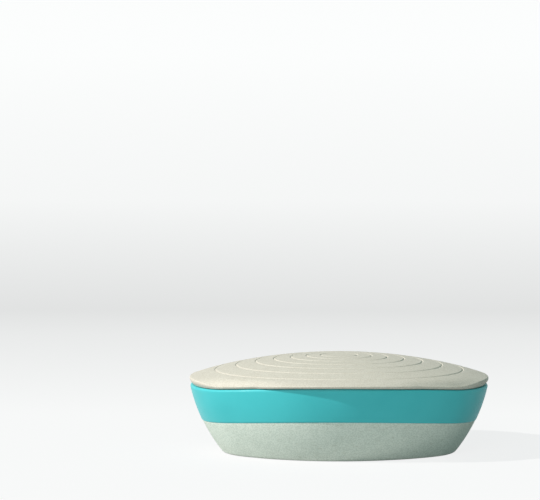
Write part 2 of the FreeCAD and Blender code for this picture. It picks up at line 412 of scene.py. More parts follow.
class Tree:
    """Node tree that is laid out from left to right."""

    column_run = 180
    row_drop = 160
    row_count = 4

    def __init__(self, tree: bpy.types.NodeTree) -> None:
        """Take over a tree that gets more nodes.

        Args:
            tree: The tree to fill.
        """
        self.tree = tree
        self.column = 0

    def add(
        self, kind: str, feeds: dict[str, object] | dict[int, object] | None = None, **settings: object
    ) -> bpy.types.Node:
        """Add a node.

        Args:
            kind: Type name of the node.
            feeds: Sockets or plain values by the inputs' names or places.
            **settings: Properties to set on it first.

        Returns:
            The new node.
        """
        node = self.tree.nodes.new(kind)
        node.location = (self.column * self.column_run, -(self.column % self.row_count) * self.row_drop)
        self.column += 1
        for key, value in settings.items():
            setattr(node, key, value)
        self.fill(node, feeds or {})
        return node

    def fill(self, node: bpy.types.Node, feeds: dict[str, object] | dict[int, object]) -> None:
        """Link or set inputs of a node.

        Args:
            node: The node.
            feeds: Sockets or plain values by the inputs' names or places.
        """
        for key, source in feeds.items():
            if isinstance(source, Socket):
                self.tree.links.new(source, node.inputs[key])
            else:
                node.inputs[key].default_value = source

    def math(self, operation: str, *values: object, clamp: bool = False) -> Socket:
        """Add a math node.

        Args:
            operation: Name of the operation.
            *values: Sockets or numbers that feed it.
            clamp: Keep the result between zero and one.

        Returns:
            The result's socket.
        """
        feeds = dict(enumerate(values))
        return self.add("ShaderNodeMath", feeds, operation=operation, use_clamp=clamp).outputs[0]

    def plus(self, first: object, second: object) -> Socket:
        """Add two values."""
        return self.math("ADD", first, second)

    def minus(self, first: object, second: object) -> Socket:
        """Take the second value from the first."""
        return self.math("SUBTRACT", first, second)

    def times(self, first: object, second: object) -> Socket:
        """Multiply two values."""
        return self.math("MULTIPLY", first, second)

    def over(self, first: object, second: object) -> Socket:
        """Divide the first value by the second."""
        return self.math("DIVIDE", first, second)

    def spread(
        self, value: Socket, low: object, high: object, at_low: float = 0.0, at_high: float = 1.0
    ) -> Socket:
        """Add a smooth map from one range to another.

        Args:
            value: What is mapped.
            low: Start of its range.
            high: End of its range.
            at_low: Result at the start.
            at_high: Result at the end.

        Returns:
            The result's socket.
        """
        feeds = dict(enumerate((value, low, high, at_low, at_high)))
        return self.add("ShaderNodeMapRange", feeds, interpolation_type="SMOOTHSTEP").outputs[0]

    def object_place(self) -> Socket:
        """Add the place on the object."""
        return self.add("ShaderNodeTexCoord").outputs["Object"]

    def noise(self, place: Socket, scale: object, detail: float, roughness: float = 0.5) -> Socket:
        """Add a noise.

        Args:
            place: Where the noise is read.
            scale: Its scale.
            detail: How many finer layers it has.
            roughness: How strong they are.

        Returns:
            The noise's value.
        """
        feeds = {"Vector": place, "Scale": scale, "Detail": detail, "Roughness": roughness}
        return self.add("ShaderNodeTexNoise", feeds).outputs[0]

    def blend(self, share: Socket, first: object, second: object) -> Socket:
        """Mix two colours by a share of the second."""
        feeds = {"Factor": share, "A": first, "B": second}
        return self.add("ShaderNodeMix", feeds, data_type="RGBA").outputs["Result"]

    def bump(self, height: Socket, strength: float, depth: float) -> Socket:
        """Add a bump of a depth in millimetres."""
        feeds = {"Strength": strength, "Distance": depth * MM, "Height": height}
        return self.add("ShaderNodeBump", feeds).outputs["Normal"]


def shader_group(
    name: str, inputs: dict[str, float], outputs: tuple[str, ...]
) -> tuple[Tree, bpy.types.Node, bpy.types.Node]:
    """Start a shader node group of plain numbers.

    Args:
        name: Name of the group.
        inputs: Name and default of each input.
        outputs: Names of the outputs.

    Returns:
        The tree, its input node and its output node.
    """
    group = bpy.data.node_groups.new(name, "ShaderNodeTree")
    for label, value in inputs.items():
        socket = group.interface.new_socket(label, in_out="INPUT", socket_type="NodeSocketFloat")
        socket.default_value = value
    for label in outputs:
        group.interface.new_socket(label, in_out="OUTPUT", socket_type="NodeSocketFloat")
    tree = Tree(group)
    return tree, tree.add("NodeGroupInput"), tree.add("NodeGroupOutput")


@dataclass(frozen=True)
class FibreGrain:
    """Grain of the plant-fibre composite: mottling and short fibres that show as flecks."""

    grain: float = 1900.0
    grain_detail: float = 3.0
    grain_roughness: float = 0.6
    mottle: float = 260.0
    mottle_detail: float = 2.0
    mottle_share: float = 0.14
    fibre: float = 1100.0
    fibre_detail: float = 1.0
    fibre_roughness: float = 0.4
    fibre_range: tuple[float, float] = (0.68, 0.78)
    fibre_turns: tuple[float, ...] = (0.4, 1.5, 2.6)
    fibre_axes: tuple[float, float, float] = (0.6, 1.3, 1.0)
    fibre_stretch: tuple[float, float, float] = (0.28, 1.0, 1.0)
    fleck_amount: float = 0.5
    fleck_height: float = 0.25

    def group(self) -> bpy.types.NodeTree:
        """Build the shader group.

        Returns:
            A group with Tone, Fleck and Height.
        """
        inputs = {
            "Grain": self.grain,
            "Mottle": self.mottle,
            "Fibre": self.fibre,
            "Fleck Amount": self.fleck_amount,
        }
        tree, start, end = shader_group("fibre_grain", inputs, ("Tone", "Fleck", "Height"))
        value = start.outputs
        place = tree.object_place()
        grain = tree.noise(place, value["Grain"], self.grain_detail, self.grain_roughness)
        mottle = tree.noise(place, value["Mottle"], self.mottle_detail)
        tone = tree.plus(tree.times(grain, 1 - self.mottle_share), tree.times(mottle, self.mottle_share))
        fleck: object = 0.0
        for turn in self.fibre_turns:
            rotation = tuple(turn * axis for axis in self.fibre_axes)
            feeds = {"Vector": place, "Rotation": rotation, "Scale": self.fibre_stretch}
            turned = tree.add("ShaderNodeMapping", feeds).outputs[0]
            streak = tree.noise(turned, value["Fibre"], self.fibre_detail, self.fibre_roughness)
            fleck = tree.math("MAXIMUM", fleck, tree.spread(streak, *self.fibre_range))
        fleck = tree.math("MULTIPLY", fleck, value["Fleck Amount"], clamp=True)
        height = tree.plus(tone, tree.times(fleck, self.fleck_height))
        tree.fill(end, {"Tone": tone, "Fleck": fleck, "Height": height})
        return tree.tree


@dataclass(frozen=True)
class HandlingSheen:
    """Faint uneven sheen that moulding and handling leave."""

    roughness: float = 0.5
    change: float = 0.08
    patch: float = 60.0
    patch_detail: float = 4.0
    patch_middle: float = 0.5

    def group(self) -> bpy.types.NodeTree:
        """Build the shader group.

        Returns:
            A group with Roughness around a given level.
        """
        inputs = {"Roughness": self.roughness, "Change": self.change, "Patch": self.patch}
        tree, start, end = shader_group("handling_sheen", inputs, ("Roughness",))
        value = start.outputs
        patch = tree.noise(tree.object_place(), value["Patch"], self.patch_detail)
        swing = tree.times(tree.minus(patch, self.patch_middle), value["Change"])
        tree.fill(end, {"Roughness": tree.math("ADD", value["Roughness"], swing, clamp=True)})
        return tree.tree


@dataclass(frozen=True)
class Finishes:
    """Shader groups that several finishes share."""

    fibre: bpy.types.NodeTree
    handling: bpy.types.NodeTree


def new_material(name: str) -> tuple[bpy.types.Material, Tree]:
    """Start a material with nodes.

    Args:
        name: Name of the material.

    Returns:
        The material and its tree.
    """
    material = bpy.data.materials.new(name)
    material.use_nodes = True
    return material, Tree(material.node_tree)


@dataclass(frozen=True)
class FibreComposite:
    """Speckled composite of plant fibre, moulded with a matte skin."""

    name: str
    pale: Colour
    dark: Colour
    fleck: Colour
    fleck_amount: float = 0.3
    tone_range: tuple[float, float] = (0.4, 0.6)
    roughness: float = 0.62
    specular: float = 0.35
    bump: float = 0.25
    bump_depth: float = 0.12

    def material(self, shared: Finishes) -> bpy.types.Material:
        """Build the material.

        Args:
            shared: Groups of the grain and the sheen.

        Returns:
            The material.
        """
        material, tree = new_material(self.name)
        grain = tree.add("ShaderNodeGroup", {"Fleck Amount": self.fleck_amount}, node_tree=shared.fibre)
        sheen = tree.add("ShaderNodeGroup", {"Roughness": self.roughness}, node_tree=shared.handling)
        tone = tree.spread(grain.outputs["Tone"], *self.tone_range)
        ground = tree.blend(tone, linear(self.dark), linear(self.pale))
        tree.fill(material.node_tree.nodes["Principled BSDF"], {
            "Base Color": tree.blend(grain.outputs["Fleck"], ground, linear(self.fleck)),
            "Roughness": sheen.outputs["Roughness"],
            "Normal": tree.bump(grain.outputs["Height"], self.bump, self.bump_depth),
            "Specular IOR Level": self.specular,
        })
        return material


@dataclass(frozen=True)
class Silicone:
    """Soft satin silicone with a faint cloudy sheen."""

    name: str
    colour: Colour
    deep: Colour
    roughness: float = 0.55
    change: float = 0.12
    patch: float = 120.0
    cloud: float = 45.0
    cloud_detail: float = 3.0
    cloud_range: tuple[float, float] = (0.3, 0.7)
    grain: float = 2600.0
    grain_detail: float = 2.0
    bump: float = 0.12
    bump_depth: float = 0.05
    specular: float = 0.4
    coat: float = 0.1
    coat_roughness: float = 0.14
    sheen: float = 0.12
    sheen_roughness: float = 0.5

    def material(self, shared: Finishes) -> bpy.types.Material:
        """Build the material.

        Args:
            shared: Groups of the grain and the sheen.

        Returns:
            The material.
        """
        material, tree = new_material(self.name)
        handled = {"Roughness": self.roughness, "Change": self.change, "Patch": self.patch}
        sheen = tree.add("ShaderNodeGroup", handled, node_tree=shared.handling)
        place = tree.object_place()
        cloud = tree.spread(tree.noise(place, self.cloud, self.cloud_detail), *self.cloud_range)
        grain = tree.noise(place, self.grain, self.grain_detail)
        tree.fill(material.node_tree.nodes["Principled BSDF"], {
            "Base Color": tree.blend(cloud, linear(self.deep), linear(self.colour)),
            "Roughness": sheen.outputs["Roughness"],
            "Normal": tree.bump(grain, self.bump, self.bump_depth),
            "Specular IOR Level": self.specular,
            "Coat Weight": self.coat,
            "Coat Roughness": self.coat_roughness,
            "Sheen Weight": self.sheen,
            "Sheen Roughness": self.sheen_roughness,
        })
        return material


class GeometryTree(Tree):
    """Geometry tree with the few shapes and moves that the pieces need."""

    def vector(self, x: object, y: object, z: object) -> Socket:
        """Combine three values."""
        return self.add("ShaderNodeCombineXYZ", dict(enumerate((x, y, z)))).outputs[0]

    def parts(self, kind: str) -> tuple[Socket, ...]:
        """Add a vector of the geometry, such as its position, as three values."""
        return tuple(self.add("ShaderNodeSeparateXYZ", {0: self.add(kind).outputs[0]}).outputs)

    def cube(self) -> Socket:
        """Add a cube of one metre."""
        return self.add("GeometryNodeMeshCube").outputs[0]

    def cylinder(self, radius: object, depth: float, sides: int) -> Socket:
        """Add an upright cylinder."""
        feeds = {"Vertices": sides, "Radius": radius, "Depth": depth}
        return self.add("GeometryNodeMeshCylinder", feeds).outputs[0]

    def row(self, count: object, first: Socket, step: Socket) -> Socket:
        """Add a row of points along the box.

        Args:
            count: How many points it has.
            first: Place of the first one.
            step: Distance from each to the next.

        Returns:
            The points.
        """
        begin, offset = self.vector(first, 0.0, 0.0), self.vector(step, 0.0, 0.0)
        feeds = {"Count": count, "Start Location": begin, "Offset": offset}
        return self.add("GeometryNodeMeshLine", feeds, mode="OFFSET").outputs[0]

    def on_points(self, points: Socket, shape: Socket, scale: Socket) -> Socket:
        """Put a shape on each point.

        Args:
            points: The points.
            shape: The shape.
            scale: Its scale, which can differ between the points.

        Returns:
            All the shapes as one mesh.
        """
        feeds = {"Points": points, "Instance": shape, "Scale": scale}
        spots = self.add("GeometryNodeInstanceOnPoints", feeds).outputs[0]
        return self.add("GeometryNodeRealizeInstances", {0: spots}).outputs[0]

    def moved(self, shape: Socket, x: object, z: object) -> Socket:
        """Move a shape along the box and up."""
        feeds = {"Geometry": shape, "Translation": self.vector(x, 0.0, z)}
        return self.add("GeometryNodeTransform", feeds).outputs[0]

    def close(self, end: bpy.types.Node, shape: Socket, finish: Socket) -> bpy.types.NodeTree:
        """End the tree with real geometry that has its material.

        Args:
            end: Output node of the tree.
            shape: What the tree has made.
            finish: The material.

        Returns:
            The finished tree.
        """
        real = self.add("GeometryNodeRealizeInstances", {0: shape}).outputs[0]
        paint = self.add("GeometryNodeSetMaterial", {"Geometry": real, "Material": finish})
        self.fill(end, {"Geometry": paint.outputs[0]})
        return self.tree


def geometry_group(
    name: str, lengths: tuple[str, ...], others: dict[str, str]
) -> tuple[GeometryTree, bpy.types.Node, bpy.types.Node]:
    """Start a geometry tree.

    Args:
        name: Name of the tree.
        lengths: Names of the inputs that are lengths.
        others: Name and socket type of each other input besides the geometry.

    Returns:
        The tree, its input node and its output node.
    """
    group = bpy.data.node_groups.new(name, "GeometryNodeTree")
    group.interface.new_socket("Geometry", in_out="INPUT", socket_type="NodeSocketGeometry")
    for label, kind in {**dict.fromkeys(lengths, "NodeSocketFloat"), **others}.items():
        group.interface.new_socket(label, in_out="INPUT", socket_type=kind)
    group.interface.new_socket("Geometry", in_out="OUTPUT", socket_type="NodeSocketGeometry")
    tree = GeometryTree(group)
    return tree, tree.add("NodeGroupInput"), tree.add("NodeGroupOutput")


def carve(item: bpy.types.Object, group: bpy.types.NodeTree, values: dict[str, object]) -> None:
    """Run a geometry tree on an object and keep the result as its plain mesh.

    Args:
        item: The object.
        group: The geometry tree.
        values: Input values by the inputs' names.
    """
    modifier = item.modifiers.new(group.name, "NODES")
    modifier.node_group = group
    for socket in group.interface.items_tree:
        if socket.item_type == "SOCKET" and socket.in_out == "INPUT" and socket.name in values:
            modifier[socket.identifier] = values[socket.name]
    view = bpy.context.evaluated_depsgraph_get()
    mesh = bpy.data.meshes.new_from_object(item.evaluated_get(view))
    item.modifiers.clear()
    item.data = mesh


@dataclass
class Piece:
    """Piece of the box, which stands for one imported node."""

    hull: Hull
    material: bpy.types.Material
    body: Body
    node: Node
    slot: Slot

    def build(self) -> bpy.types.Object:
        """Build the piece's mesh object."""
        raise NotImplementedError

    def dress(self, item: bpy.types.Object) -> None:
        """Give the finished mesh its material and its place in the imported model.

        Args:
            item: The piece's mesh object.
        """
        item.data.materials.clear()
        item.data.materials.append(self.material)
        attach(item, self.body.value)
        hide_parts(self.node.value)


@dataclass
class BaseTray(Piece):
    """Flared tray with a foot ring, a shoulder under the band and a rim inside it."""

    body: Body = Body.BASE
    node: Node = Node.BASE_TRAY
    slot: Slot = Slot.BASE
    skin_step: float = 0.2
    foot_round: float = 2.0
    foot_degrees: float = 37.0
    foot_rows: int = 8
    foot_recess: float = 0.8
    recess_inset: float = 17.9
    recess_round: float = 0.3
    recess_rows: int = 3
    middle_insets: tuple[float, float] = (27.0, 22.0)
    floor_height: float = 2.8
    floor_round: float = 2.5
    floor_rows: int = 7
    floor_inset: float = 26.0
    shoulder_gap: float = 0.02
    shoulder_round: float = 0.25
    rim_rise: float = -1.25
    outer_rows: int = 22
    inner_rows: int = 14

    def foot(self) -> list[Ring]:
        """Make the underside.

        Returns:
            Rings from its middle out to the top of the foot's rounding.
        """
        hull, skin, soft, tight = self.hull, self.hull.skin, self.foot_round, self.recess_round
        rings = [hull.level_ring(skin, inset, self.foot_recess) for inset in self.middle_insets]
        for z, draw in rounding(self.foot_recess - tight, tight, 90, 0, self.recess_rows):
            rings.append(hull.level_ring(skin, self.recess_inset + draw, z))
        for z, draw in rounding(tight, tight, 0, -90, self.recess_rows):
            rings.append(hull.level_ring(skin, self.recess_inset - draw, z))
        slope = math.radians(self.foot_degrees)
        contact = soft * (1 - math.sin(slope))
        widest = hull.flare.inset(contact) + self.skin_step - soft * (1 - math.cos(slope))
        for z, draw in rounding(soft, soft, -90, -self.foot_degrees, self.foot_rows):
            rings.append(hull.level_ring(skin, widest + draw, z))
        return rings

    def outside(self, low: Ring) -> list[Ring]:
        """Make the outer wall, the shoulder and the rim.

        Args:
            low: Ring at the top of the foot's rounding.

        Returns:
            Rings from the foot up to the rim's top.
        """
        hull, skin, soft = self.hull, self.hull.skin, self.shoulder_round
        top = -hull.band_height - self.shoulder_gap
        steps = rounding(top - soft, soft, 0, 90)
        shoulder = hull.bowed_edge(skin, hull.flare, steps, inset=self.skin_step)
        wall = hull.wall_rings(skin, hull.flare, low, shoulder[0], self.outer_rows, self.skin_step)
        rim = [hull.bowed_ring(hull.seat, hull.rim, rise) for rise in (top, self.rim_rise)]
        return [*wall, *shoulder, *rim]

    def inside(self) -> list[Ring]:
        """Make the cavity.

        Returns:
            Rings from the rim's top down to the middle of the floor.
        """
        hull, seat, wall, soft = self.hull, self.hull.seat, self.hull.cavity, self.floor_round
        rim = hull.bowed_ring(seat, wall, self.rim_rise)
        slope = math.radians(wall.degrees)
        contact = self.floor_height + soft * (1 - math.sin(slope))
        widest = wall.inset(contact) - soft * (1 - math.cos(slope))
        steps = rounding(self.floor_height + soft, soft, -wall.degrees, -90, self.floor_rows)
        corner = [hull.level_ring(seat, widest + draw, z) for z, draw in steps]
        sides = reversed(hull.wall_rings(seat, wall, corner[0], rim, self.inner_rows))
        return [rim, *sides, *corner, hull.level_ring(seat, self.floor_inset, self.floor_height)]

    def build(self) -> bpy.types.Object:
        """Build the tray's mesh object."""
        foot = self.foot()
        return Shell("base_tray_piece", [*foot, *self.outside(foot[-1]), *self.inside()]).piece(capped=True)


@dataclass
class SealBand(Piece):
    """Soft band around the rim, with a lip folded over its top."""

    body: Body = Body.BASE
    node: Node = Node.SEAL_BAND
    slot: Slot = Slot.BAND
    top_round: float = 0.85
    top_rows: int = 7
    foot_round: float = 0.3
    lip: float = 1.2
    lip_round: float = 0.3
    wall_rows: int = 20

    def build(self) -> bpy.types.Object:
        """Build the band's mesh object.

        Returns:
            The band.
        """
        hull, skin, seat = self.hull, self.hull.skin, self.hull.seat
        low = -hull.band_height
        foot_steps = rounding(low + self.foot_round, self.foot_round, -90, 0)
        foot = hull.bowed_edge(skin, hull.flare, foot_steps)
        top_steps = rounding(-self.top_round, self.top_round, 0, 90, self.top_rows)
        top = hull.bowed_edge(skin, hull.flare, top_steps)
        wall = hull.wall_rings(skin, hull.flare, foot[-1], top[0], self.wall_rows)
        lip_steps = rounding(-self.lip_round, self.lip_round, 90, 0)
        lip = hull.bowed_edge(seat, hull.cavity, lip_steps, side=-1)
        lip.append(hull.bowed_ring(seat, hull.cavity, -self.lip))
        back = [hull.bowed_ring(seat, hull.band_back, rise) for rise in (-self.lip, low)]
        return Shell("seal_band_piece", [*foot, *wall, *top, *lip, *back]).piece(capped=False)


@dataclass
class Lid(Piece):
    """Crowned lid with engraved ovals, a rim over the band and a skirt inside it."""

    body: Body = Body.LID
    node: Node = Node.LID
    slot: Slot = Slot.LID
    outline: Oval = LippedOval(57.35, 40.3, 32.0)
    apex: float = 37.5
    crown_long: float = 150.0
    crown_cross: float = 127.0
    crown_deep: float = 110.8
    rim_least: float = 1.0
    rim_share: float = 0.1
    tip_start: float = 45.0
    tip_end: float = 57.0
    edge_run: float = 0.3
    edge_share: float = 0.8
    edge_lean: float = 0.45
    edge_draw: float = 0.4
    edge_rows: int = 10
    face_rows: int = 5
    sink_power: float = 2.4
    sink_rows: int = 11
    seat_rise: float = 0.35
    seat_round: float = 0.2
    skirt_end: float = 21.5
    skirt_round: float = 0.5
    skirt_rows: int = 6
    wall: float = 2.4
    hollow_guess: float = 29.0
    hollow_drop: float = 0.8
    hollow_fade_share: float = 0.05
    hollow_shares: tuple[float, ...] = (0.985, 0.955, 0.9, 0.8, 0.65, 0.5, 0.35, 0.2, 0.08)
    ring_first: float = 7.0
    ring_step: float = 5.25
    ring_growth: float = 0.25
    ring_count: int = 7
    ring_aspect: float = 0.77
    station_first: float = 0.6
    station_past: float = 2.0
    station_rows: int = 5
    groove_width: float = 0.85
    groove_depth: float = 0.25
    groove_shares: tuple[float, ...] = (-0.75, -0.5, -0.38, -0.25, -0.12, 0.0, 0.12, 0.25, 0.38, 0.5, 0.75)
    groove_lowest: float = 29.5
    groove_facing: float = 0.3

    def crown(self, x: np.ndarray, y: np.ndarray, wall: float = 0.0) -> np.ndarray:
        """Height of the crown.

        Args:
            x: Distances along the box.
            y: Distances across it.
            wall: How far the surface lies under the outside.

        Returns:
            Heights over the foot.
        """
        spread = (x / self.crown_long) ** 2 + (y / self.crown_cross) ** 2
        return self.apex - wall - self.crown_deep * (1 - np.sqrt(1 - spread))

    def grooves(self) -> list[float]:
        """Half lengths of the engraved ovals."""
        numbers = range(self.ring_count)
        return [self.ring_first + self.ring_step * n + self.ring_growth * n**2 for n in numbers]

    def stations(self) -> list[float]:
        """Choose the crown's rings, which lie close together at each engraved oval.

        Returns:
            Half lengths of the rings, from the middle out.
        """
        grooves = self.grooves()
        places = [groove + share * self.groove_width for groove in grooves for share in self.groove_shares]
        ends = [self.station_first, *grooves, grooves[-1] + self.station_past]
        for low, high in zip(ends, ends[1:]):
            for place in np.linspace(low, high, self.station_rows):
                if min(abs(place - groove) for groove in grooves) > self.groove_width:
                    places.append(float(place))
        return sorted(places)

    def top(self) -> list[Ring]:
        """Make the crown and its edge.

        Returns:
            Rings from the middle out, and down to the seat.
        """
        hull = self.hull
        rings = []
        for half_length in self.stations():
            x, y = Ellipse(half_length, half_length * self.ring_aspect).around()
            rings.append(hull.ring(x, y, self.crown(x, y)))
        inner = rings[-1]
        x, y = self.outline.around(self.edge_run)
        outer = hull.ring(x, y, self.crown(x, y))
        _, sink = self.rim()
        for share in np.linspace(0, 1, self.sink_rows + 2)[1:-1]:
            x, y, _ = (inner * (1 - share) + outer * share).T
            rings.append(hull.ring(x, y, self.crown(x, y) - sink * share**self.sink_power))
        return rings + self.edge()

    def rim(self) -> Walk:
        """Measure the rim for each step round the outline.

        Returns:
            Heights of the rim over its seat, and how far the crown rolls down to meet it.
        """
        x, y = self.outline.around(0.0)
        room = self.crown(x, y) - self.hull.bow.level(x, self.seat_rise)
        near = np.clip((np.abs(x) - self.tip_start) / (self.tip_end - self.tip_start), 0.0, 1.0)
        sink = (1 - self.rim_share) * (room - self.rim_least) * (1 - near**2 * (3 - 2 * near))
        return room - sink, sink

    def edge(self) -> list[Ring]:
        """Make the soft edge.

        Returns:
            Rings from the crown over the widest line down to the seat.
        """
        hull = self.hull
        seat = hull.bow.level(self.outline.around(0.0)[0], self.seat_rise)
        tall, sink = self.rim()
        wide = seat + self.edge_share * tall
        lean = self.edge_lean * (tall - self.rim_least) + self.edge_draw
        rings = []
        for out, down in rounding(0.0, 1.0, 0, 90, self.edge_rows):
            x, y = self.outline.around(self.edge_run * (1 - out))
            drop = (1 - self.edge_share) * tall * down
            rings.append(hull.ring(x, y, self.crown(x, y) - sink - drop))
        for share in np.linspace(0, 1, self.face_rows + 1)[1:]:
            x, y = self.outline.around(lean * share**2)
            low = hull.bow.level(x, self.seat_rise) + self.seat_round
            rings.append(hull.ring(x, y, wide * (1 - share) + np.minimum(low, wide) * share))
        for rise, draw in rounding(self.seat_round, self.seat_round, 0, -90)[1:]:
            x, y = self.outline.around(lean + draw)
            rings.append(hull.ring(x, y, hull.bow.level(x, self.seat_rise) + rise))
        return rings

    def underside(self) -> list[Ring]:
        """Make the seat, the skirt and the hollow under the crown.

        Returns:
            Rings from the seat over the skirt's end to the middle of the hollow.
        """
        hull, seat, soft = self.hull, self.hull.seat, self.skirt_round
        rings = [hull.bowed_ring(seat, hull.skirt, self.seat_rise)]
        steps = rounding(self.skirt_end + soft, soft, 0, -90)
        rings += hull.level_edge(seat, hull.skirt, steps)
        rings += hull.level_edge(seat, hull.skirt_back, steps[::-1], side=-1)
        height = np.full(ROUND, self.hollow_guess)
        for _ in range(FITTING_PASSES):
            x, y = seat.around(hull.skirt_back.inset(height))
            height = self.crown(x, y, self.wall) - self.hollow_drop
        wall_top = hull.ring(x, y, height)
        rings += hull.wall_rings(seat, hull.skirt_back, rings[-1], wall_top, self.skirt_rows)
        rings.append(wall_top)
        for share in self.hollow_shares:
            inner_x, inner_y = x * share, y * share
            fade = self.hollow_drop * max(0.0, 1 - (1 - share) / self.hollow_fade_share) ** 2
            rings.append(hull.ring(inner_x, inner_y, self.crown(inner_x, inner_y, self.wall) - fade))
        return rings

    def lengths(self) -> dict[str, float]:
        """Lengths that the engraving takes, by the names of its inputs."""
        return {
            "First Oval": self.ring_first,
            "Oval Step": self.ring_step,
            "Oval Growth": self.ring_growth,
            "Groove Width": self.groove_width,
            "Groove Depth": self.groove_depth,
            "Edge Height": self.groove_lowest,
        }

    def engraving(self) -> bpy.types.NodeTree:
        """Build the tree that sinks evenly growing ovals into the crown.

        Returns:
            The geometry tree.
        """
        others = {
            "Stretch": "NodeSocketFloat",
            "Last Oval": "NodeSocketFloat",
            "Finish": "NodeSocketMaterial",
        }
        tree, start, end = geometry_group("engraved_ovals", tuple(self.lengths()), others)
        value = start.outputs
        first, step, growth = value["First Oval"], value["Oval Step"], value["Oval Growth"]
        x, y, z = tree.parts("GeometryNodeInputPosition")
        wide = tree.times(y, value["Stretch"])
        level = tree.math("SQRT", tree.plus(tree.times(x, x), tree.times(wide, wide)))

        # The nearest oval's number solves level = first + step * number + growth * number squared.
        past = tree.math("MAXIMUM", tree.minus(level, first), 0.0)
        under_root = tree.plus(tree.times(step, step), tree.times(tree.times(growth, past), 4.0))
        number = tree.over(tree.minus(tree.math("SQRT", under_root), step), tree.times(growth, 2.0))
        nearest = tree.math("MINIMUM", tree.math("ROUND", number), value["Last Oval"])
        grown = tree.times(growth, tree.times(nearest, nearest))
        oval = tree.plus(first, tree.plus(tree.times(step, nearest), grown))

        away = tree.math("ABSOLUTE", tree.minus(level, oval))
        half = tree.times(value["Groove Width"], 0.5)
        sink = tree.times(tree.spread(away, 0.0, half, 1.0, 0.0), value["Groove Depth"])
        on_top = tree.math("GREATER_THAN", z, value["Edge Height"])
        facing = tree.parts("GeometryNodeInputNormal")[2]
        move = tree.add("GeometryNodeSetPosition", {
            "Geometry": value["Geometry"],
            "Selection": tree.math("GREATER_THAN", facing, self.groove_facing),
            "Offset": tree.vector(0.0, 0.0, tree.times(tree.times(sink, on_top), -1.0)),
        })
        return tree.close(end, move.outputs[0], value["Finish"])

    def build(self) -> bpy.types.Object:
        """Build the lid's mesh object.

        Returns:
            The lid, with its engraving in its mesh.
        """
        rings = [*reversed(self.underside()), *reversed(self.top())]
        item = Shell("lid_piece", rings).piece(capped=True)
        values: dict[str, object] = {label: size * MM for label, size in self.lengths().items()}
        values["Stretch"] = 1 / self.ring_aspect
        values["Last Oval"] = float(self.ring_count - 1)
        values["Finish"] = self.material
        carve(item, self.engraving(), values)
        return item


